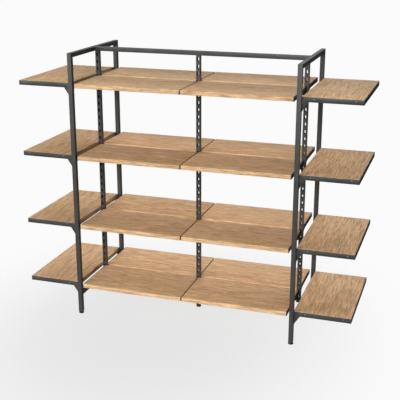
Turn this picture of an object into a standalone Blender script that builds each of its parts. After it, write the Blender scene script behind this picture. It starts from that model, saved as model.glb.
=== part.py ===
"""Two-sided gondola shelving unit: a steel frame of square tube with oak shelf boards.

Two end frames carry a top rail. Three slotted posts stand in the middle plane, and brackets
hooked into their slots hold the main shelf boards, in front of the posts and behind them.
Four framed side shelves hang outside each end frame.

Units are metres. +X is the unit's right, +Y its rear and +Z up. The floor is z = 0 and the
origin is on the floor, midway between the end frames and between the two faces.
"""

import math

import bmesh
import bpy

# Square tube, used for the end frames, the posts and the top rail
TUBE = 0.030
TUBE_WALL = 0.002

# Clearance between neighbouring pieces
GAP = 0.0003

# Overall frame
HEIGHT = 1.890
BAY_WIDTH = 0.750          # centre to centre of two neighbouring posts
LEG_SPACING = 0.750        # centre to centre of the front leg and the rear leg
TUBE_END_HEIGHT = 0.014    # underside of the legs and of the middle post
CROSSBAR_BOTTOM = 0.143    # also the lower end of the two outer posts

# End plate that closes a leg and takes a levelling foot
END_PLATE = 0.004
FOOT_HOLE_RADIUS = 0.0053

# Slots in the front wall and the rear wall of the posts
SLOT_PITCH = 0.050
SLOT_COUNT = 34
SLOT_HEIGHT = 0.024
LOWEST_SLOT = 0.185        # centre height
OUTER_POST_SLOT_WIDTH = 0.012
MIDDLE_POST_SLOT_WIDTH = 0.008
MIDDLE_POST_SLOT_OFFSET = 0.0055

# Shelf levels, given by the slot that the upper part of the bracket sits in
SHELF_SLOTS = (1, 10, 20, 30)
SHELF_ABOVE_SLOT = 0.003
SHELF_REACH = 0.395        # front edge of the main boards, from the middle plane
BOARD_THICKNESS = 0.029

# Brackets
BRACKET_PLATE = 0.0025
BRACKET_CENTRE_OFFSET = 0.002    # inner face of the two brackets on the middle post
BRACKET_OUTER_FACE = 0.749       # outer face of the brackets on the outer posts
FLANGE_WIDTH = 0.020
FLANGE_PLATE = 0.002
FLANGE_SETBACK = 0.012
ARM_DEPTH = BOARD_THICKNESS + GAP + FLANGE_PLATE
GUSSET_REACH = 0.140
NECK_TOP = -0.002
LUG_HEIGHT = 0.020
LUG_LIP = 0.0037
LUG_LIP_DROP = 0.006

# Side shelves
TRAY_LENGTH = 0.382
TRAY_WIDTH = 0.743
TRAY_HEIGHT = 0.032
TRAY_PLATE = 0.003
TRAY_LEDGE = 0.015
TRAY_LEDGE_PLATE = 0.002
TRAY_GUSSET_LENGTH = 0.040
TRAY_GUSSET_DROP = 0.060
TRAY_FLANGE_WIDTH = 0.020
SIDE_BOARD_RISE = 0.0015   # top of a side board above its tray's rim

# Levelling feet
FOOT_RADIUS = 0.016
FOOT_THICKNESS = 0.009
FOOT_COLLAR_RADIUS = 0.009
FOOT_COLLAR_TOP = 0.012
FOOT_STEM_RADIUS = 0.005
FOOT_STEM_TOP = 0.045
FOOT_CHAMFER = 0.0015
FOOT_SIDES = 20

FRAME_X = BAY_WIDTH + TUBE
RAIL_BOTTOM = HEIGHT - TUBE
OVERCUT = 0.005            # how far a cutter runs past the face it opens


def shelf_top(level):
    """Height of the top of the main boards at a level, counted from 0 at the bottom."""
    return LOWEST_SLOT + SHELF_SLOTS[level] * SLOT_PITCH + SHELF_ABOVE_SLOT


def clear_scene():
    for obj in list(bpy.data.objects):
        bpy.data.objects.remove(obj, do_unlink=True)


def new_collection(name):
    collection = bpy.data.collections.new(name)
    bpy.context.scene.collection.children.link(collection)
    return collection


def new_material(name, colour, roughness, metallic):
    material = bpy.data.materials.new(name)
    material.use_nodes = True
    shader = material.node_tree.nodes["Principled BSDF"]
    shader.inputs["Base Color"].default_value = (*colour, 1.0)
    shader.inputs["Roughness"].default_value = roughness
    shader.inputs["Metallic"].default_value = metallic
    return material


def workpiece(name, mesh):
    """A shape under construction: it is cut, joined or copied, and is never a part itself."""
    obj = bpy.data.objects.new(name, mesh)
    obj.hide_render = True
    obj.display_type = "WIRE"
    bpy.data.collections["cutters"].objects.link(obj)
    return obj


def snapped_mesh(name, shape):
    """The mesh of a bmesh, its points on a grid of 1 micrometre so that flush faces are exactly flush."""
    for vert in shape.verts:
        vert.co = [round(value, 6) for value in vert.co]
    mesh = bpy.data.meshes.new(name)
    shape.to_mesh(mesh)
    shape.free()
    return mesh


def box(name, low, high):
    """A box between two opposite corners."""
    shape = bmesh.new()
    bmesh.ops.create_cube(shape, size=1.0)
    for vert in shape.verts:
        for axis in range(3):
            middle = (low[axis] + high[axis]) / 2
            vert.co[axis] = middle + vert.co[axis] * (high[axis] - low[axis])
    return workpiece(name, snapped_mesh(name, shape))


def rod(name, radius, low, high, centre):
    """An upright cylinder from height low to height high, with its axis through centre (x, y)."""
    shape = bmesh.new()
    bmesh.ops.create_cone(shape, cap_ends=True, segments=FOOT_SIDES,
                          radius1=radius, radius2=radius, depth=high - low)
    bmesh.ops.translate(shape, verts=shape.verts, vec=(*centre, (low + high) / 2))
    return workpiece(name, snapped_mesh(name, shape))


def plate(name, outlines, thickness, rotation, location):
    """A flat plate cut to closed outlines, the first the edge and any others holes."""
    curve = bpy.data.curves.new(name, "CURVE")
    curve.dimensions = "2D"
    curve.fill_mode = "BOTH"
    curve.extrude = thickness / 2
    for outline in outlines:
        spline = curve.splines.new("POLY")
        spline.points.add(len(outline) - 1)
        for point, (across, up) in zip(spline.points, outline):
            point.co = (across, up, 0.0, 1.0)
        spline.use_cyclic_u = True
    blank = workpiece(name + "_outline", curve)
    blank.rotation_euler = rotation
    blank.location = location
    bpy.context.view_layer.update()
    evaluated = blank.evaluated_get(bpy.context.evaluated_depsgraph_get())
    shape = bmesh.new()
    shape.from_mesh(bpy.data.meshes.new_from_object(evaluated))
    bmesh.ops.transform(shape, verts=shape.verts, matrix=blank.matrix_world)
    bmesh.ops.remove_doubles(shape, verts=shape.verts, dist=0.00001)
    bpy.data.objects.remove(blank, do_unlink=True)
    return workpiece(name, snapped_mesh(name, shape))


def plate_facing_x(name, outlines, thickness, x):
    """A plate in the plane across X, its outlines given as (y, z)."""
    return plate(name, outlines, thickness, (math.pi / 2, 0.0, math.pi / 2), (x, 0.0, 0.0))


def plate_facing_y(name, outlines, thickness, y):
    """A plate in the plane across Y, its outlines given as (x, z)."""
    return plate(name, outlines, thickness, (math.pi / 2, 0.0, 0.0), (0.0, y, 0.0))


def finish(base, joined=(), cut=()):
    """The mesh of base with other workpieces joined to it and cut from it."""
    for operation, tools in (("UNION", joined), ("DIFFERENCE", cut)):
        for tool in tools:
            boolean = base.modifiers.new(tool.name, "BOOLEAN")
            boolean.operation = operation
            boolean.object = tool
    bpy.context.view_layer.update()
    evaluated = base.evaluated_get(bpy.context.evaluated_depsgraph_get())
    mesh = bpy.data.meshes.new_from_object(evaluated)
    for used in (base, *joined, *cut):
        bpy.data.objects.remove(used, do_unlink=True)
    return mesh


def place(name, mesh, material, location, half_turn=False):
    """A part of the unit. A half turn about +Z makes a left-hand piece of a right-hand one."""
    if not mesh.materials:
        mesh.materials.append(material)
    obj = bpy.data.objects.new(name, mesh)
    obj.location = location
    obj.rotation_euler.z = math.pi if half_turn else 0.0
    obj.parent = bpy.data.objects["unit"]
    bpy.data.collections["gondola_shelving_unit"].objects.link(obj)
    return obj


def end_frame_outlines(inset):
    """Edge and window of an end frame, or of its hollow when inset is the tube wall."""
    outer = LEG_SPACING / 2 + TUBE / 2 - inset
    inner = LEG_SPACING / 2 - TUBE / 2 + inset
    foot_end = TUBE_END_HEIGHT + (END_PLATE if inset else 0.0)
    top = HEIGHT - inset
    crossbar_low = CROSSBAR_BOTTOM + inset
    edge = [
        (-outer, foot_end),
        (-outer, top),
        (outer, top),
        (outer, foot_end),
        (inner, foot_end),
        (inner, crossbar_low),
        (-inner, crossbar_low),
        (-inner, foot_end),
    ]
    window_low = CROSSBAR_BOTTOM + TUBE - inset
    window_high = RAIL_BOTTOM + inset
    window = [(-inner, window_low), (inner, window_low), (inner, window_high), (-inner, window_high)]
    return [edge, window]


def foot_hole(centre):
    return rod("foot_hole", FOOT_HOLE_RADIUS, TUBE_END_HEIGHT - OVERCUT,
               TUBE_END_HEIGHT + END_PLATE + OVERCUT, centre)


def end_frame_mesh():
    """Two legs, a top bar and a low crossbar, welded up hollow, with a hole for each foot."""
    frame = plate_facing_x("end_frame", end_frame_outlines(0.0), TUBE, 0.0)
    hollow = plate_facing_x("end_frame_hollow", end_frame_outlines(TUBE_WALL), TUBE - 2 * TUBE_WALL, 0.0)
    holes = [foot_hole((0.0, side * LEG_SPACING / 2)) for side in (-1, 1)]
    return finish(frame, cut=[hollow, *holes])


def slot_cutter(x, width):
    """One column of slots, cut through the front wall and the rear wall together."""
    reach = TUBE / 2 + OVERCUT
    cutter = box("slots", (x - width / 2, -reach, LOWEST_SLOT - SLOT_HEIGHT / 2),
                 (x + width / 2, reach, LOWEST_SLOT + SLOT_HEIGHT / 2))
    column = cutter.modifiers.new("column", "ARRAY")
    column.count = SLOT_COUNT
    column.use_relative_offset = False
    column.use_constant_offset = True
    column.constant_offset_displace = (0.0, 0.0, SLOT_PITCH)
    return cutter


def post_mesh(bottom, slot_columns, has_foot):
    """A slotted post. slot_columns lists the (x, width) of each column of slots."""
    half = TUBE / 2
    core = half - TUBE_WALL
    top = RAIL_BOTTOM - GAP
    tube = box("post", (-half, -half, bottom), (half, half, top))
    hollow_bottom = bottom + END_PLATE if has_foot else bottom - OVERCUT
    hollow = box("post_hollow", (-core, -core, hollow_bottom), (core, core, top + OVERCUT))
    cut = [hollow]
    cut.extend(slot_cutter(x, width) for x, width in slot_columns)
    if has_foot:
        cut.append(foot_hole((0.0, 0.0)))
    return finish(tube, cut=cut)


def top_rail_mesh():
    half = TUBE / 2
    core = half - TUBE_WALL
    reach = FRAME_X - half - GAP
    tube = box("top_rail", (-reach, -half, RAIL_BOTTOM), (reach, half, HEIGHT))
    hollow = box("top_rail_hollow", (-reach - OVERCUT, -core, RAIL_BOTTOM + TUBE_WALL),
                 (reach + OVERCUT, core, HEIGHT - TUBE_WALL))
    return finish(tube, cut=[hollow])


def bracket_outline():
    """Side view of a bracket, as (y, z) from the top of the shelf.

    The front arm and the rear arm are one plate. A neck joins them through the upper slot, and
    a lug under each arm hooks through the slot below and behind the wall of the post.
    """
    post_face = TUBE / 2 + GAP
    wall_inside = TUBE / 2 - TUBE_WALL - GAP
    lip_inside = wall_inside - LUG_LIP
    neck_bottom = -SHELF_ABOVE_SLOT - SLOT_HEIGHT / 2 + GAP
    lug_bottom = neck_bottom - SLOT_PITCH
    rear_half = [
        (post_face, NECK_TOP),
        (post_face, 0.0),
        (SHELF_REACH, 0.0),
        (SHELF_REACH, -ARM_DEPTH),
        (GUSSET_REACH, -ARM_DEPTH),
        (post_face, lug_bottom),
        (wall_inside, lug_bottom),
        (wall_inside, lug_bottom - LUG_LIP_DROP),
        (lip_inside, lug_bottom - LUG_LIP_DROP),
        (lip_inside, lug_bottom + LUG_HEIGHT),
        (post_face, lug_bottom + LUG_HEIGHT),
        (post_face, neck_bottom),
    ]
    front_half = [(-y, z) for y, z in reversed(rear_half)]
    return rear_half + front_half


def bracket_mesh():
    """A bracket with its plate from x = 0 to +X and its flanges further along +X."""
    web = plate_facing_x("bracket", [bracket_outline()], BRACKET_PLATE, BRACKET_PLATE / 2)
    near = TUBE / 2 + FLANGE_SETBACK
    far = SHELF_REACH - FLANGE_SETBACK
    flanges = []
    for side in (-1, 1):
        first, last = sorted((side * near, side * far))
        flanges.append(box("flange", (BRACKET_PLATE / 2, first, -ARM_DEPTH),
                           (BRACKET_PLATE + FLANGE_WIDTH, last, -ARM_DEPTH + FLANGE_PLATE)))
    return finish(web, joined=flanges)


def main_board_mesh():
    """A main board, its origin in the middle of its top."""
    length = (BRACKET_OUTER_FACE - BRACKET_PLATE - GAP) - (BRACKET_CENTRE_OFFSET + BRACKET_PLATE + GAP)
    depth = SHELF_REACH - TUBE / 2 - GAP
    return finish(box("board", (-length / 2, -depth / 2, -BOARD_THICKNESS), (length / 2, depth / 2, 0.0)))


def side_board_mesh():
    """A side board, its origin at the inner end of its tray and level with the tray's rim."""
    margin = TRAY_PLATE + GAP
    half_width = TRAY_WIDTH / 2 - margin
    return finish(box("side_board", (0.0, -half_width, SIDE_BOARD_RISE - BOARD_THICKNESS),
                      (TRAY_LENGTH - margin, half_width, SIDE_BOARD_RISE)))


def tray_well(name, inset, low, high, inner_end=None):
    """A cutter for the inside of a tray, inset from its outer faces or open at its inner end."""
    half_width = TRAY_WIDTH / 2 - inset
    start = inset if inner_end is None else inner_end
    return box(name, (start, -half_width, low), (TRAY_LENGTH - inset, half_width, high))


def side_tray_mesh():
    """Upright plates around three sides of a side board, with a ledge that the board lies on.

    Its origin is at the inner end, level with the rim. The inner end has only a low sill, below
    the board. A gusset runs down from the front plate and the rear plate there, and a flange on
    it lies against the leg.
    """
    half_width = TRAY_WIDTH / 2
    ledge_top = SIDE_BOARD_RISE - BOARD_THICKNESS - GAP
    ledge_bottom = ledge_top - TRAY_LEDGE_PLATE
    foot_of_gusset = -TRAY_HEIGHT - TRAY_GUSSET_DROP
    gusset = [(0.0, 0.0), (TRAY_GUSSET_LENGTH, 0.0), (TRAY_GUSSET_LENGTH, -TRAY_HEIGHT), (0.0, foot_of_gusset)]
    rim = box("tray", (0.0, -half_width, -TRAY_HEIGHT), (TRAY_LENGTH, half_width, 0.0))
    wells = [
        tray_well("board_well", TRAY_PLATE, ledge_top, OVERCUT, inner_end=-OVERCUT),
        tray_well("under_well", TRAY_PLATE, -TRAY_HEIGHT - OVERCUT, ledge_bottom),
        tray_well("middle_well", TRAY_PLATE + TRAY_LEDGE, ledge_bottom - OVERCUT, ledge_top + OVERCUT),
    ]
    hollow_rim = workpiece("hollow_rim", finish(rim, cut=wells))
    joined = []
    for side in (-1, 1):
        joined.append(plate_facing_y("gusset", [gusset], TRAY_PLATE, side * (half_width - TRAY_PLATE / 2)))
        first, last = sorted((side * half_width, side * (half_width - TRAY_FLANGE_WIDTH)))
        joined.append(box("leg_flange", (0.0, first, foot_of_gusset), (TRAY_PLATE, last, ledge_top)))
    return finish(hollow_rim, joined=joined)


def levelling_foot_mesh():
    """A turned foot, its origin on its axis at floor level: pad, collar and plain stem."""
    profile = [
        (0.0, FOOT_STEM_TOP),
        (FOOT_STEM_RADIUS, FOOT_STEM_TOP),
        (FOOT_STEM_RADIUS, FOOT_COLLAR_TOP),
        (FOOT_COLLAR_RADIUS, FOOT_COLLAR_TOP),
        (FOOT_COLLAR_RADIUS, FOOT_THICKNESS),
        (FOOT_RADIUS - FOOT_CHAMFER, FOOT_THICKNESS),
        (FOOT_RADIUS, FOOT_THICKNESS - FOOT_CHAMFER),
        (FOOT_RADIUS, FOOT_CHAMFER),
        (FOOT_RADIUS - FOOT_CHAMFER, 0.0),
        (0.0, 0.0),
    ]
    mesh = bpy.data.meshes.new("foot")
    edges = [(i, i + 1) for i in range(len(profile) - 1)]
    mesh.from_pydata([(radius, 0.0, z) for radius, z in profile], edges, [])
    turned = workpiece("foot", mesh)
    screw = turned.modifiers.new("turn", "SCREW")
    screw.axis = "Z"
    screw.steps = FOOT_SIDES
    screw.render_steps = FOOT_SIDES
    screw.use_merge_vertices = True
    screw.merge_threshold = 0.00001
    solid = finish(turned)
    solid.shade_smooth()
    solid.set_sharp_from_angle(angle=math.radians(35))
    return solid


def build_frame(steel):
    end_frame = end_frame_mesh()
    outer_post = post_mesh(CROSSBAR_BOTTOM, [(0.0, OUTER_POST_SLOT_WIDTH)], has_foot=False)
    columns = [(side * MIDDLE_POST_SLOT_OFFSET, MIDDLE_POST_SLOT_WIDTH) for side in (-1, 1)]
    middle_post = post_mesh(TUBE_END_HEIGHT, columns, has_foot=True)
    for hand, side in (("left", -1), ("right", 1)):
        place("end_frame_" + hand, end_frame, steel, (side * FRAME_X, 0.0, 0.0))
        place("post_" + hand, outer_post, steel, (side * (BAY_WIDTH - GAP), 0.0, 0.0))
    place("post_middle", middle_post, steel, (0.0, 0.0, 0.0))
    place("top_rail", top_rail_mesh(), steel, (0.0, 0.0, 0.0))


def build_brackets(steel):
    bracket = bracket_mesh()
    for level in range(len(SHELF_SLOTS)):
        height = shelf_top(level)
        for hand, side in (("left", -1), ("right", 1)):
            # Flanges point into the bay: away from the middle post, and inwards at the outer post.
            place(f"bracket_middle_{hand}_{level + 1}", bracket, steel,
                  (side * BRACKET_CENTRE_OFFSET, 0.0, height), half_turn=side < 0)
            place(f"bracket_outer_{hand}_{level + 1}", bracket, steel,
                  (side * BRACKET_OUTER_FACE, 0.0, height), half_turn=side > 0)


def build_main_boards(oak):
    board = main_board_mesh()
    x = (BRACKET_OUTER_FACE + BRACKET_CENTRE_OFFSET) / 2
    y = (SHELF_REACH + TUBE / 2 + GAP) / 2
    for level in range(len(SHELF_SLOTS)):
        for hand, side in (("left", -1), ("right", 1)):
            for face, way in (("front", -1), ("rear", 1)):
                place(f"board_{face}_{hand}_{level + 1}", board, oak, (side * x, way * y, shelf_top(level)))


def build_side_shelves(steel, oak):
    tray = side_tray_mesh()
    board = side_board_mesh()
    x = FRAME_X + TUBE / 2 + GAP
    for level in range(len(SHELF_SLOTS)):
        for hand, side in (("left", -1), ("right", 1)):
            spot = (side * x, 0.0, shelf_top(level))
            place(f"side_tray_{hand}_{level + 1}", tray, steel, spot, half_turn=side < 0)
            place(f"side_board_{hand}_{level + 1}", board, oak, spot, half_turn=side < 0)


def build_feet(plastic):
    foot = levelling_foot_mesh()
    for hand, side in (("left", -1), ("right", 1)):
        for face, way in (("front", -1), ("rear", 1)):
            place(f"foot_{face}_{hand}", foot, plastic, (side * FRAME_X, way * LEG_SPACING / 2, 0.0))
    place("foot_middle", foot, plastic, (0.0, 0.0, 0.0))


def build_unit():
    clear_scene()
    parts = new_collection("gondola_shelving_unit")
    new_collection("cutters")
    parts.objects.link(bpy.data.objects.new("unit", None))
    steel = new_material("charcoal_powder_coat", (0.055, 0.056, 0.055), 0.5, 0.0)
    oak = new_material("light_oak", (0.48, 0.30, 0.17), 0.55, 0.0)
    plastic = new_material("black_plastic", (0.02, 0.02, 0.02), 0.6, 0.0)
    build_frame(steel)
    build_brackets(steel)
    build_main_boards(oak)
    build_side_shelves(steel, oak)
    build_feet(plastic)


build_unit()
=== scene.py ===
"""Looks of a two-sided gondola shelving unit: charcoal powder-coated steel and light oak.

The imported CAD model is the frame. Every CAD node is replaced by a finished copy of its own
mesh, with rounded edges and a procedural material, except for the levelling feet, which are
turned anew with their hexagons and threaded stems. Weld beads, screws and bolts, which the CAD
leaves out, are added.
Units are metres. +X is the unit's right, +Y its rear and +Z up.
"""

import math
import random

import bmesh
import bpy
from mathutils import Matrix, Vector


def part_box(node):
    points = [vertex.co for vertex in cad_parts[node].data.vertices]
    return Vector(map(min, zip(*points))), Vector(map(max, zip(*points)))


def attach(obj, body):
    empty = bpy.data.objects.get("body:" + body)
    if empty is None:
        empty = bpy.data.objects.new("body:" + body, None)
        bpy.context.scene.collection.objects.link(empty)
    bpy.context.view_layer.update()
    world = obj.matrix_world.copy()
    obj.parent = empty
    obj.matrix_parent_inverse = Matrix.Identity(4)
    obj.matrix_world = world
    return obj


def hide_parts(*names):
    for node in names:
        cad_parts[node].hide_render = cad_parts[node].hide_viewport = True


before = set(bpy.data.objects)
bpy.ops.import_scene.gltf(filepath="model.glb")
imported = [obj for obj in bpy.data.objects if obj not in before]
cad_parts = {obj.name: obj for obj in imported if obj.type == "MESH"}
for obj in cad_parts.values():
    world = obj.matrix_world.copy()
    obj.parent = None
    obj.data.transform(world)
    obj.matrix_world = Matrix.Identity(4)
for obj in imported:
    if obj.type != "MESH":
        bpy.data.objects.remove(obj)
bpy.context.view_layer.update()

# Camera, at the photograph's viewing angle
CAMERA_PLACE = (1.8028, -5.4135, 2.6457)
CAMERA_YAW = math.radians(18.33)
CAMERA_PITCH = math.radians(-17.66)
CAMERA_LENS = 75.294
CAMERA_SENSOR = 36.0

# Edge roundings
TUBE_ROUNDING = 0.0015
PLATE_ROUNDING = 0.0005
BOARD_ROUNDING = 0.0013
SHORTEST_TUBE_CORNER = 0.02    # edges of a slot are shorter and stay crisp
ON_PLANE = 0.0001              # how near a face counts as on it

# How far the arms of the middle brackets stay below and behind the faces of the boards
SHADOW_GAP_DEPTH = 0.010

# Colours, linear
STEEL_COLOUR = (0.049, 0.049, 0.047)
OAK_LIGHT = (0.90, 0.600, 0.345)
OAK_DARK = (0.40, 0.235, 0.106)
OAK_OLIVE = (0.60, 0.44, 0.25)
OAK_PINK = (0.74, 0.45, 0.28)
OAK_PORE = (0.24, 0.13, 0.06)
ZINC_COLOUR = (0.52, 0.52, 0.51)
PLASTIC_COLOUR = (0.018, 0.018, 0.018)
WHITE = (1.0, 1.0, 1.0, 1.0)

# Scales of the oak's patterns: features per metre along, across and through a board
OAK_WAVER = (2.2, 6.0, 6.0)
OAK_RIPPLE = (8.0, 24.0, 24.0)
OAK_BROAD = (4.5, 75.0, 75.0)
OAK_STREAK = (11.0, 150.0, 150.0)
OAK_FIBRE = (28.0, 520.0, 520.0)
OAK_PORES = (22.0, 1100.0, 1100.0)
OAK_HUE = (11.0, 30.0, 30.0)
OAK_BOARD = (0.35, 0.5, 0.5)

# Fasteners
TRAY_SCREW_INSETS = (0.073, 0.332)    # from the inner end of a tray
TRAY_SCREW_DROP = 0.0125              # below the tray's rim
TRAY_SCREW_RADIUS = 0.0031
LEG_BOLT_Y = 0.3636
LEG_BOLT_DROPS = (0.046, 0.074)       # below the tray's rim
LEG_BOLT_RADIUS = 0.0045
LEG_FLANGE_PLATE = 0.003              # the tray's flange, which the bolts' heads stand on

# Welds
WELD_RADIUS = 0.0021
WELD_RIPPLE = 0.0032
WELD_INSET = 0.0006           # a bead's centre line lies this far inside the corner
WELD_END_GAP = 0.001          # from the end of an upright bead to the end of its seam
RAIL_WELD_TOP_GAP = 0.004     # the rail's upright beads stop this far below its top
WELD_SIDES = 8

# Levelling feet
FOOT_RADIUS = 0.018
FOOT_THICKNESS = 0.009
NUT_RADIUS = 0.0089
STEM_RADIUS = 0.0048
STEM_TOP = 0.045
THREAD_START = 0.012
THREAD_PITCH = 0.0015
THREAD_TURNS = 21

# Suns: name, strength, azimuth and elevation in degrees. Azimuth 0 shines from the front, and a
# positive one from the unit's right.
SUNS = (
    ("front", 2.42, 0.0, 20.0),
    ("left", 1.9, -50.0, 15.0),
    ("back", 1.1, 180.0, 50.0),
)
SUN_WIDTH = math.radians(36.0)

# A wide panel behind the unit, which reaches in between the lower shelves
PANEL_SIZE = (3.0, 1.2)
PANEL_PLACE = (0.0, 1.9, 0.9)
PANEL_POWER = 32.0

# The surround: dim for the unit, brighter in its reflections, white for the camera
SURROUND_FRONT = 0.02
SURROUND_BACK = 0.14
SURROUND_BELOW = 0.12         # share left below the horizon
REFLECTION_GAIN = 3.2
BACKDROP = 0.965

# The floor, which glows for the camera and fades out away from the unit. Its glow is dimmer than the white
# backdrop, so the solid floor near the unit, a little to its front left, is a painted soft shadow that fades
# into the backdrop.
FLOOR_HALF_SIZE = 6.0
FLOOR_COLOUR = (0.09, 0.09, 0.09, 1.0)
FLOOR_SHADED_GLOW = 0.74
FLOOR_BOUNCE = 0.20           # the glow that lights the unit
FLOOR_SHADOW_SHIFT = (0.20, 0.33, 0.0)
FLOOR_SHADOW_SCALE = (1.0, 0.81, 1.0)
FLOOR_SHADOW_FADE_START = 0.32
FLOOR_SHADOW_FADE_END = 2.03

LEVELS = range(1, 5)
HANDS = {"left": -1, "right": 1}
FACES = {"front": -1, "rear": 1}


# ---------------------------------------------------------------- node helpers

class Graph:
    """Short calls for building a node tree."""

    def __init__(self, tree):
        self.tree = tree

    def add(self, kind, **values):
        node = self.tree.nodes.new(kind)
        for key, value in values.items():
            setattr(node, key, value)
        return node

    def link(self, source, target):
        self.tree.links.new(source, target)

    def feed(self, socket, value):
        if isinstance(value, bpy.types.NodeSocket):
            self.link(value, socket)
        else:
            socket.default_value = value

    def math(self, operation, first, second):
        node = self.add("ShaderNodeMath", operation=operation)
        self.feed(node.inputs[0], first)
        self.feed(node.inputs[1], second)
        return node.outputs[0]

    def weighted_sum(self, terms):
        """The sum of value * weight over the given (value, weight) pairs."""
        total = None
        for value, weight in terms:
            term = self.math("MULTIPLY", value, weight)
            total = term if total is None else self.math("ADD", total, term)
        return total

    def mapped(self, vector, scale, shift=(0.0, 0.0, 0.0)):
        node = self.add("ShaderNodeMapping")
        self.link(vector, node.inputs["Vector"])
        node.inputs["Location"].default_value = shift
        node.inputs["Scale"].default_value = scale
        return node.outputs["Vector"]

    def noise(self, vector, scale, detail=2.0, roughness=0.5):
        """Noise of one scale, or of three scales along the axes of vector."""
        if isinstance(scale, tuple):
            vector = self.mapped(vector, scale)
            scale = 1.0
        node = self.add("ShaderNodeTexNoise")
        self.link(vector, node.inputs["Vector"])
        node.inputs["Scale"].default_value = scale
        node.inputs["Detail"].default_value = detail
        node.inputs["Roughness"].default_value = roughness
        return node.outputs["Fac"]

    def remap(self, value, low, high, to_low=0.0, to_high=1.0, interpolation="LINEAR"):
        node = self.add("ShaderNodeMapRange", clamp=True, interpolation_type=interpolation)
        self.link(value, node.inputs["Value"])
        for name, number in (("From Min", low), ("From Max", high), ("To Min", to_low), ("To Max", to_high)):
            node.inputs[name].default_value = number
        return node.outputs["Result"]

    def mix(self, factor, first, second):
        node = self.add("ShaderNodeMix", data_type="RGBA")
        self.feed(node.inputs["Factor"], factor)
        for socket, value in ((node.inputs[6], first), (node.inputs[7], second)):
            self.feed(socket, value if isinstance(value, bpy.types.NodeSocket) else (*value, 1.0))
        return node.outputs[2]

    def object_coordinates(self):
        return self.add("ShaderNodeTexCoord").outputs["Object"]


class Surface(Graph):
    """A new material's node tree."""

    def __init__(self, name):
        self.material = bpy.data.materials.new(name)
        self.material.use_nodes = True
        super().__init__(self.material.node_tree)
        self.shader = self.tree.nodes["Principled BSDF"]

    def bump(self, height, strength, distance):
        node = self.add("ShaderNodeBump")
        self.link(height, node.inputs["Height"])
        node.inputs["Strength"].default_value = strength
        node.inputs["Distance"].default_value = distance
        self.link(node.outputs["Normal"], self.shader.inputs["Normal"])

    def edge_mask(self):
        """0 on the flats of an upright piece, rising over its rounded edges."""
        normal = self.add("ShaderNodeTexCoord").outputs["Normal"]
        absolute = self.add("ShaderNodeVectorMath", operation="ABSOLUTE")
        self.link(normal, absolute.inputs[0])
        parts = self.add("ShaderNodeSeparateXYZ")
        self.link(absolute.outputs["Vector"], parts.inputs[0])
        largest = self.math("MAXIMUM", self.math("MAXIMUM", parts.outputs["X"], parts.outputs["Y"]),
                            parts.outputs["Z"])
        return self.remap(largest, 0.99, 0.80)


# ------------------------------------------------------------------- materials

def powder_coat():
    """Fine-textured satin powder coat, a little rubbed along the edges."""
    g = Surface("charcoal_powder_coat")
    place = g.object_coordinates()
    cloud = g.noise(place, 7.0, detail=4.0)
    speck = g.noise(place, 900.0, detail=1.0)
    darker = tuple(0.86 * c for c in STEEL_COLOUR)
    lighter = tuple(1.16 * c for c in STEEL_COLOUR)
    colour = g.mix(g.remap(cloud, 0.3, 0.7), darker, lighter)
    rub = g.math("MULTIPLY", g.edge_mask(), g.remap(g.noise(place, 60.0, detail=3.0), 0.45, 0.75))
    colour = g.mix(g.math("MULTIPLY", rub, 0.6), colour, tuple(3.2 * c for c in STEEL_COLOUR))
    g.link(colour, g.shader.inputs["Base Color"])
    g.link(g.remap(g.noise(place, 30.0, detail=3.0), 0.3, 0.7, 0.34, 0.46), g.shader.inputs["Roughness"])
    g.shader.inputs["Specular IOR Level"].default_value = 0.42
    g.bump(speck, 0.16, 0.0002)
    return g.material


def oak():
    """Lacquered light oak. The grain runs along the first axis of each board's own coordinates."""
    g = Surface("light_oak")
    grain = g.add("ShaderNodeAttribute", attribute_name="grain").outputs["Vector"]
    # The growth lines waver across the board's width as they run along it.
    slow = g.noise(grain, OAK_WAVER)
    quick = g.noise(grain, OAK_RIPPLE)
    shift = g.add("ShaderNodeCombineXYZ")
    g.link(g.weighted_sum(((slow, 0.018), (quick, 0.004))), shift.inputs["Y"])
    g.link(g.math("MULTIPLY", quick, 0.006), shift.inputs["Z"])
    bent = g.add("ShaderNodeVectorMath", operation="ADD")
    g.link(grain, bent.inputs[0])
    g.link(shift.outputs[0], bent.inputs[1])
    lines = bent.outputs["Vector"]
    broad = g.noise(lines, OAK_BROAD, roughness=0.6)
    streak = g.noise(lines, OAK_STREAK, detail=3.0, roughness=0.65)
    fibre = g.noise(lines, OAK_FIBRE, detail=3.0, roughness=0.7)
    pores = g.remap(g.noise(lines, OAK_PORES, detail=1.0), 0.57, 0.68)
    # One board is a little lighter or darker than the next.
    board_tone = g.math("SUBTRACT", g.noise(grain, OAK_BOARD, detail=1.0), 0.5)
    tone = g.weighted_sum(((broad, 0.24), (streak, 0.50), (fibre, 0.26), (board_tone, 0.10)))
    colour = g.mix(g.remap(tone, 0.410, 0.590), OAK_DARK, OAK_LIGHT)
    hue = g.noise(grain, OAK_HUE)
    colour = g.mix(g.remap(hue, 0.53, 0.70, 0.0, 0.50), colour, OAK_OLIVE)
    colour = g.mix(g.remap(hue, 0.45, 0.30, 0.0, 0.40), colour, OAK_PINK)
    colour = g.mix(g.math("MULTIPLY", pores, 0.5), colour, OAK_PORE)
    g.link(colour, g.shader.inputs["Base Color"])
    g.link(g.remap(tone, 0.35, 0.65, 0.70, 0.58), g.shader.inputs["Roughness"])
    g.shader.inputs["Specular IOR Level"].default_value = 0.22
    g.bump(g.math("SUBTRACT", fibre, g.math("MULTIPLY", pores, 0.8)), 0.22, 0.0004)
    return g.material


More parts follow.
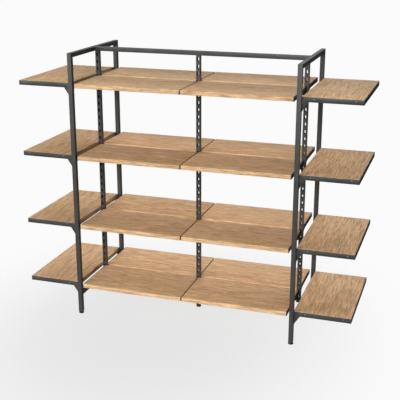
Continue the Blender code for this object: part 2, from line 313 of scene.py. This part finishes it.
def zinc():
    """Bright zinc plate, slightly cloudy."""
    g = Surface("zinc_plate")
    place = g.object_coordinates()
    cloud = g.noise(place, 300.0, detail=3.0)
    g.link(g.mix(cloud, tuple(0.8 * c for c in ZINC_COLOUR), ZINC_COLOUR), g.shader.inputs["Base Color"])
    g.link(g.remap(cloud, 0.3, 0.7, 0.26, 0.42), g.shader.inputs["Roughness"])
    g.shader.inputs["Metallic"].default_value = 1.0
    g.bump(g.noise(place, 2500.0, detail=1.0), 0.1, 0.0001)
    return g.material


def foot_plastic():
    """Black moulded plastic with a fine spark-eroded texture and scuffs."""
    g = Surface("black_plastic")
    place = g.object_coordinates()
    scuff = g.remap(g.noise(place, 140.0, detail=4.0, roughness=0.65), 0.5, 0.75)
    scuffed = tuple(2.4 * c for c in PLASTIC_COLOUR)
    g.link(g.mix(scuff, PLASTIC_COLOUR, scuffed), g.shader.inputs["Base Color"])
    g.link(g.math("ADD", g.math("MULTIPLY", scuff, 0.15), 0.48), g.shader.inputs["Roughness"])
    g.bump(g.noise(place, 1800.0, detail=1.0), 0.2, 0.0002)
    return g.material


# ---------------------------------------------------------------- mesh helpers

def link_piece(name, mesh, material, body):
    """A piece of the unit, in the scene and riding on a CAD body."""
    mesh.materials.clear()
    mesh.materials.append(material)
    piece = bpy.data.objects.new(name, mesh)
    bpy.context.scene.collection.objects.link(piece)
    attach(piece, body)
    return piece


def finished_mesh(name, shape, smooth_angle=40.0):
    mesh = bpy.data.meshes.new(name)
    shape.to_mesh(mesh)
    shape.free()
    mesh.shade_smooth()
    mesh.set_sharp_from_angle(angle=math.radians(smooth_angle))
    return mesh


def cad_shape(node):
    """A CAD node's mesh as a bmesh of flat many-sided faces."""
    shape = bmesh.new()
    shape.from_mesh(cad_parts[node].data)
    bmesh.ops.remove_doubles(shape, verts=shape.verts, dist=0.00001)
    bmesh.ops.dissolve_limit(shape, angle_limit=math.radians(1.0), use_dissolve_boundaries=False,
                             verts=shape.verts, edges=shape.edges)
    return shape


def corner_edges(shape, wanted):
    """The convex edges that turn a corner of at least 30 degrees and pass the test wanted(edge)."""
    turned = []
    for edge in shape.edges:
        if len(edge.link_faces) == 2 and edge.calc_face_angle_signed() > math.radians(30.0) and wanted(edge):
            turned.append(edge)
    return turned


def round_edges(shape, edges, radius, segments):
    bmesh.ops.bevel(shape, geom=edges, offset=radius, offset_type="OFFSET", segments=segments,
                    profile=0.5, affect="EDGES", clamp_overlap=True)


def rounded_tube_mesh(node, is_outside):
    """A tube piece with its outside corners rounded."""
    shape = cad_shape(node)
    long_edges = corner_edges(shape, lambda e: is_outside(e) and e.calc_length() > SHORTEST_TUBE_CORNER)
    round_edges(shape, long_edges, TUBE_ROUNDING, 4)
    return finished_mesh(node + "_finished", shape)


def rounded_plate_mesh(node, radius, segments, adjust=None):
    """A plate or a board with all its corners rounded, after adjust(shape) where one is given."""
    shape = cad_shape(node)
    if adjust:
        adjust(shape)
    round_edges(shape, corner_edges(shape, lambda e: True), radius, segments)
    return finished_mesh(node + "_finished", shape)


def replace_node(node, mesh, material, body):
    piece = link_piece(node + "_finish", mesh, material, body)
    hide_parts(node)


# ---------------------------------------------------------------------- pieces

def on_planes(edge, low, high, axes):
    """Whether an edge lies on the outer planes of a box, in every one of the given axes."""
    for axis in axes:
        for vert in edge.verts:
            if min(abs(vert.co[axis] - low[axis]), abs(vert.co[axis] - high[axis])) > ON_PLANE:
                return False
    return True


def build_tubes(steel):
    for hand in HANDS:
        node = "end_frame_" + hand
        low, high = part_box(node)
        # The legs and bars of an end frame share the two faces across X.
        mesh = rounded_tube_mesh(node, lambda e: on_planes(e, low, high, (0,)))
        replace_node(node, mesh, steel, "structure")
    for node in ("post_left", "post_middle", "post_right"):
        low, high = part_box(node)
        mesh = rounded_tube_mesh(node, lambda e: on_planes(e, low, high, (0, 1)))
        replace_node(node, mesh, steel, "structure")
    low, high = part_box("top_rail")
    mesh = rounded_tube_mesh("top_rail", lambda e: on_planes(e, low, high, (1, 2)))
    replace_node("top_rail", mesh, steel, "structure")


def draw_arms_in(shape):
    """Leaves a shadow gap between two boards, over the arms of a bracket and in front of them."""
    top = max(v.co.z for v in shape.verts)
    tip = max(v.co.y for v in shape.verts)
    for vert in shape.verts:
        if vert.co.z > top - ON_PLANE:
            vert.co.z -= SHADOW_GAP_DEPTH
        if abs(vert.co.y) > tip - ON_PLANE:
            vert.co.y -= math.copysign(SHADOW_GAP_DEPTH, vert.co.y)


def build_plates(steel):
    adjustments = {"bracket_middle": draw_arms_in, "bracket_outer": None, "side_tray": None}
    for level in LEVELS:
        for hand in HANDS:
            for kind, adjust in adjustments.items():
                node = f"{kind}_{hand}_{level}"
                mesh = rounded_plate_mesh(node, PLATE_ROUNDING, 2, adjust)
                replace_node(node, mesh, steel, "structure")


def write_grain(mesh, along_y, chooser):
    """Stores where each point lies in the board's own timber: along the grain, across it, and up."""
    offset = Vector(chooser.uniform(-20.0, 20.0) for _ in range(3))
    grain = mesh.attributes.new("grain", "FLOAT_VECTOR", "POINT")
    for vert, item in zip(mesh.vertices, grain.data):
        x, y, z = vert.co
        item.vector = offset + Vector((y, x, z) if along_y else (x, y, z))


def build_boards(timber):
    chooser = random.Random(7)
    for level in LEVELS:
        for hand in HANDS:
            for face in FACES:
                node = f"board_{face}_{hand}_{level}"
                mesh = rounded_plate_mesh(node, BOARD_ROUNDING, 3)
                write_grain(mesh, False, chooser)
                replace_node(node, mesh, timber, node)
            node = f"side_board_{hand}_{level}"
            mesh = rounded_plate_mesh(node, BOARD_ROUNDING, 3)
            write_grain(mesh, True, chooser)
            replace_node(node, mesh, timber, "structure")


def turned(profile, steps=24):
    """A closed turned body. The profile lists (radius, height, sides); sides of 0 is round."""
    shape = bmesh.new()
    rings = []
    for radius, height, sides in profile:
        ring = []
        for step in range(steps):
            angle = 2.0 * math.pi * step / steps
            reach = radius
            if sides:
                half_side = math.pi / sides
                reach = radius * math.cos(half_side) / math.cos(angle % (2.0 * half_side) - half_side)
            ring.append(shape.verts.new((reach * math.cos(angle), reach * math.sin(angle), height)))
        rings.append(ring)
    for lower, upper in zip(rings, rings[1:]):
        for step in range(steps):
            following = (step + 1) % steps
            shape.faces.new((lower[step], lower[following], upper[following], upper[step]))
    for ring in (rings[0], rings[-1]):
        middle = shape.verts.new((0.0, 0.0, ring[0].co.z))
        for step in range(steps):
            shape.faces.new((ring[step], ring[(step + 1) % steps], middle))
    bmesh.ops.recalc_face_normals(shape, faces=shape.faces)
    return shape


def screw_head(radius):
    """A domed screw head with a hexagon socket, standing on the plane z = 0."""
    tall = 0.55 * radius
    return turned([
        (0.98 * radius, -0.0002, 0),
        (radius, 0.20 * tall, 0),
        (0.93 * radius, 0.55 * tall, 0),
        (0.76 * radius, 0.84 * tall, 0),
        (0.52 * radius, tall, 0),
        (0.46 * radius, tall, 6),
        (0.42 * radius, 0.92 * tall, 6),
        (0.42 * radius, 0.30 * tall, 6),
    ])


def place_heads(name, head_shape, spots, material, body):
    """Several equal screw heads in one piece. Each spot is (position, outward direction)."""
    shape = bmesh.new()
    template = bpy.data.meshes.new(name + "_template")
    head_shape.to_mesh(template)
    head_shape.free()
    for spot, outward in spots:
        first = len(shape.verts)
        shape.from_mesh(template)
        shape.verts.ensure_lookup_table()
        turn = Vector(outward).to_track_quat("Z", "Y").to_matrix().to_4x4()
        bmesh.ops.transform(shape, matrix=Matrix.Translation(spot) @ turn, verts=shape.verts[first:])
    bpy.data.meshes.remove(template)
    link_piece(name, finished_mesh(name, shape, 30.0), material, body)


def build_tray_fasteners(plated):
    """Wood screws through each tray's front and rear plates, and bolts that hold it to the legs."""
    for level in LEVELS:
        for hand, side in HANDS.items():
            low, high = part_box(f"side_tray_{hand}_{level}")
            inner = low.x if side > 0 else high.x
            screws = []
            bolts = []
            for way in FACES.values():
                plate_y = low.y if way < 0 else high.y
                for inset in TRAY_SCREW_INSETS:
                    spot = (inner + side * inset, plate_y, high.z - TRAY_SCREW_DROP)
                    screws.append((spot, (0.0, way, 0.0)))
                for drop in LEG_BOLT_DROPS:
                    spot = (inner + side * LEG_FLANGE_PLATE, way * LEG_BOLT_Y, high.z - drop)
                    bolts.append((spot, (side, 0.0, 0.0)))
            place_heads(f"tray_screws_{hand}_{level}", screw_head(TRAY_SCREW_RADIUS), screws,
                        plated, "structure")
            place_heads(f"tray_bolts_{hand}_{level}", screw_head(LEG_BOLT_RADIUS), bolts,
                        plated, "structure")


def build_feet(plastic, plated):
    """A moulded pad with a zinc hexagon and a threaded stem, at each CAD foot."""
    thread = []
    for turn in range(THREAD_TURNS):
        height = THREAD_START + turn * THREAD_PITCH
        thread.append((0.88 * STEM_RADIUS, height, 0))
        thread.append((STEM_RADIUS, height + 0.5 * THREAD_PITCH, 0))
    thread.append((0.80 * STEM_RADIUS, STEM_TOP, 0))
    for node in [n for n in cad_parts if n.startswith("foot_")]:
        low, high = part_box(node)
        centre = Matrix.Translation(((low.x + high.x) / 2, (low.y + high.y) / 2, low.z))
        pad = turned([
            (FOOT_RADIUS - 0.0020, 0.0, 0),
            (FOOT_RADIUS - 0.0008, 0.0003, 0),
            (FOOT_RADIUS, 0.0012, 0),
            (FOOT_RADIUS, 0.0052, 0),
            (FOOT_RADIUS - 0.0005, 0.0066, 0),
            (FOOT_RADIUS - 0.0018, 0.0078, 0),
            (FOOT_RADIUS - 0.0045, 0.0086, 0),
            (NUT_RADIUS, FOOT_THICKNESS, 0),
        ], steps=40)
        hexagon = turned([
            (0.97 * NUT_RADIUS, 0.0088, 6),
            (NUT_RADIUS, 0.0093, 6),
            (NUT_RADIUS, 0.0115, 6),
            (0.95 * NUT_RADIUS, 0.0119, 6),
            (0.70 * NUT_RADIUS, 0.0120, 0),
        ])
        stem = turned(thread, steps=20)
        parts = (("pad", pad, plastic), ("hexagon", hexagon, plated), ("stem", stem, plated))
        for part, shape, material in parts:
            bmesh.ops.transform(shape, matrix=centre, verts=shape.verts)
            name = f"{node}_{part}"
            piece = link_piece(name, finished_mesh(name, shape, 32.0), material, node)
            if part == "pad":
                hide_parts(node)


def weld_bead(shape, start, end, chooser):
    """A rippled bead along a straight seam, added to shape."""
    start, end = Vector(start), Vector(end)
    along = (end - start).normalized()
    turn = along.to_track_quat("Z", "Y").to_matrix()
    whole = (end - start).length
    count = max(8, int(whole / (WELD_RIPPLE / 3.0)))
    rings = []
    for step in range(count + 1):
        share = step / count
        length = share * whole
        radius = WELD_RADIUS * (1.0 + 0.13 * math.sin(2.0 * math.pi * length / WELD_RIPPLE))
        radius *= 1.0 + 0.05 * chooser.uniform(-1.0, 1.0)
        # Both ends taper over about one radius.
        radius *= min(1.0, 0.35 + min(share, 1.0 - share) * whole / WELD_RADIUS)
        ring = []
        for corner in range(WELD_SIDES):
            angle = 2.0 * math.pi * corner / WELD_SIDES
            across = turn @ Vector((math.cos(angle), math.sin(angle), 0.0))
            ring.append(shape.verts.new(start + along * length + across * radius))
        rings.append(ring)
    for lower, upper in zip(rings, rings[1:]):
        for corner in range(WELD_SIDES):
            following = (corner + 1) % WELD_SIDES
            shape.faces.new((lower[corner], lower[following], upper[following], upper[corner]))
    shape.faces.new(list(reversed(rings[0])))
    shape.faces.new(rings[-1])


def build_welds(steel):
    """Beads where the tubes meet, coated like the tubes."""
    chooser = random.Random(3)
    rail_low, rail_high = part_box("top_rail")
    post_low, post_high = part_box("post_right")
    frame_low, frame_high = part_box("end_frame_right")
    half = rail_high.y
    inset = WELD_INSET
    seams = {"rail": [], "posts": [], "end_frames": []}
    for side in (-1, 1):
        x = side * rail_high.x
        y, z = half - inset, rail_low.z + inset
        for way in (-1, 1):
            seams["rail"].append(((x, way * y, z), (x, way * y, rail_high.z - RAIL_WELD_TOP_GAP)))
        # An outer post meets the rail above and the low crossbar beside it.
        inner, outer = side * post_low.x, side * post_high.x
        for way in (-1, 1):
            seams["posts"].append(((inner, way * y, rail_low.z), (outer, way * y, rail_low.z)))
            seams["posts"].append(((outer, way * y, post_low.z + WELD_END_GAP),
                                   (outer, way * y, post_low.z + 2.0 * half - WELD_END_GAP)))
        x = inner + side * inset
        seams["posts"].append(((x, -y, rail_low.z), (x, y, rail_low.z)))
        # The middle post meets the rail on four sides.
        seams["posts"].append(((side * y, -y, rail_low.z), (side * y, y, rail_low.z)))
        seams["posts"].append(((-y, side * y, rail_low.z), (y, side * y, rail_low.z)))
        near, far = side * (frame_low.x + inset), side * (frame_high.x - inset)
        for way in (-1, 1):
            leg = way * (frame_high.y - 2.0 * half)
            bar_low, bar_high = post_low.z + inset, post_low.z + 2.0 * half - inset
            for z in (bar_low, bar_high, rail_low.z):
                seams["end_frames"].append(((near, leg, z), (far, leg, z)))
            for x in (near, far):
                seams["end_frames"].append(((x, leg, bar_low), (x, leg, bar_high)))
    for place, lines in seams.items():
        shape = bmesh.new()
        for start, end in lines:
            weld_bead(shape, start, end, chooser)
        bmesh.ops.recalc_face_normals(shape, faces=shape.faces)
        name = "welds_" + place
        link_piece(name, finished_mesh(name, shape, 60.0), steel, "structure")


# ----------------------------------------------------------------------- stage

def build_stage():
    """A pale glowing floor that takes faint shadows and fades into the white surround. Its glow, dimmer than
    the surround, paints a soft shadow around the unit.
    """
    shape = bmesh.new()
    bmesh.ops.create_grid(shape, x_segments=1, y_segments=1, size=FLOOR_HALF_SIZE)
    mesh = bpy.data.meshes.new("floor")
    shape.to_mesh(mesh)
    shape.free()
    floor = bpy.data.objects.new("floor", mesh)
    bpy.context.scene.collection.objects.link(floor)
    g = Surface("pale_floor")
    distance = g.add("ShaderNodeVectorMath", operation="LENGTH")
    g.link(g.mapped(g.object_coordinates(), FLOOR_SHADOW_SCALE, FLOOR_SHADOW_SHIFT), distance.inputs[0])
    # Painted shadow: the floor is solid and dim near the unit, a little to its front left, and fades into
    # the brighter backdrop further out.
    shadow_fade = g.remap(distance.outputs["Value"], FLOOR_SHADOW_FADE_START, FLOOR_SHADOW_FADE_END, 1.0, 0.0, "SMOOTHSTEP")
    g.link(shadow_fade, g.shader.inputs["Alpha"])
    g.shader.inputs["Base Color"].default_value = FLOOR_COLOUR
    g.shader.inputs["Roughness"].default_value = 0.9
    g.shader.inputs["Specular IOR Level"].default_value = 0.0
    g.shader.inputs["Emission Color"].default_value = WHITE
    # The glow is for the camera; little of it lights the unit from below. For the camera it is dimmer than
    # the backdrop, which paints a soft shadow wherever the floor has not faded out.
    seen = g.add("ShaderNodeLightPath").outputs["Is Camera Ray"]
    g.link(g.remap(seen, 0.0, 1.0, FLOOR_BOUNCE, FLOOR_SHADED_GLOW), g.shader.inputs["Emission Strength"])
    mesh.materials.append(g.material)


def aim(obj, toward):
    """Turns a light so that it shines from the direction toward."""
    obj.rotation_euler = Vector(toward).to_track_quat("Z", "Y").to_euler()
    bpy.context.scene.collection.objects.link(obj)


def build_suns():
    for name, strength, azimuth, elevation in SUNS:
        light = bpy.data.lights.new(name, "SUN")
        light.energy = strength
        light.angle = SUN_WIDTH
        a, e = math.radians(azimuth), math.radians(elevation)
        aim(bpy.data.objects.new(name, light),
            (math.sin(a) * math.cos(e), -math.cos(a) * math.cos(e), math.sin(e)))


def build_panel():
    light = bpy.data.lights.new("panel", "AREA")
    light.shape = "RECTANGLE"
    light.size, light.size_y = PANEL_SIZE
    light.energy = PANEL_POWER
    panel = bpy.data.objects.new("panel", light)
    panel.location = PANEL_PLACE
    panel.visible_camera = False
    panel.visible_glossy = False
    aim(panel, (0.0, 1.0, 0.0))


def build_surround():
    world = bpy.data.worlds.new("studio")
    bpy.context.scene.world = world
    world.use_nodes = True
    world.node_tree.nodes.clear()
    g = Graph(world.node_tree)
    direction = g.add("ShaderNodeTexCoord").outputs["Generated"]
    # How far a direction leans to the rear and up
    lean = g.add("ShaderNodeVectorMath", operation="DOT_PRODUCT")
    g.link(direction, lean.inputs[0])
    lean.inputs[1].default_value = (0.0, 1.0, 0.5)
    behind = g.remap(lean.outputs["Value"], 0.15, 0.90, SURROUND_FRONT, SURROUND_BACK, "SMOOTHSTEP")
    parts = g.add("ShaderNodeSeparateXYZ")
    g.link(direction, parts.inputs[0])
    above = g.remap(parts.outputs["Z"], -0.06, 0.10, SURROUND_BELOW, 1.0, "SMOOTHSTEP")
    ray = g.add("ShaderNodeLightPath")
    reflected = g.remap(ray.outputs["Is Glossy Ray"], 0.0, 1.0, 1.0, REFLECTION_GAIN)
    strength = g.math("MULTIPLY", g.math("MULTIPLY", behind, above), reflected)
    choose = g.add("ShaderNodeMixShader")
    g.link(ray.outputs["Is Camera Ray"], choose.inputs["Fac"])
    for brightness, socket in ((strength, choose.inputs[1]), (BACKDROP, choose.inputs[2])):
        background = g.add("ShaderNodeBackground")
        background.inputs["Color"].default_value = WHITE
        g.feed(background.inputs["Strength"], brightness)
        g.link(background.outputs[0], socket)
    g.link(choose.outputs[0], g.add("ShaderNodeOutputWorld").inputs["Surface"])


def build_camera():
    data = bpy.data.cameras.new("camera")
    data.lens = CAMERA_LENS
    data.sensor_width = CAMERA_SENSOR
    data.clip_end = 60.0
    camera = bpy.data.objects.new("camera", data)
    camera.location = CAMERA_PLACE
    camera.rotation_euler = (math.pi / 2 + CAMERA_PITCH, 0.0, CAMERA_YAW)
    bpy.context.scene.collection.objects.link(camera)
    bpy.context.scene.camera = camera


build_camera()
build_suns()
build_panel()
build_surround()
build_stage()
steel_finish = powder_coat()
timber_finish = oak()
zinc_finish = zinc()
build_tubes(steel_finish)
build_plates(steel_finish)
build_boards(timber_finish)
build_tray_fasteners(zinc_finish)
build_feet(foot_plastic(), zinc_finish)
build_welds(steel_finish)
bpy.context.scene.view_settings.view_transform = "Standard"

bpy.context.view_layer.update()
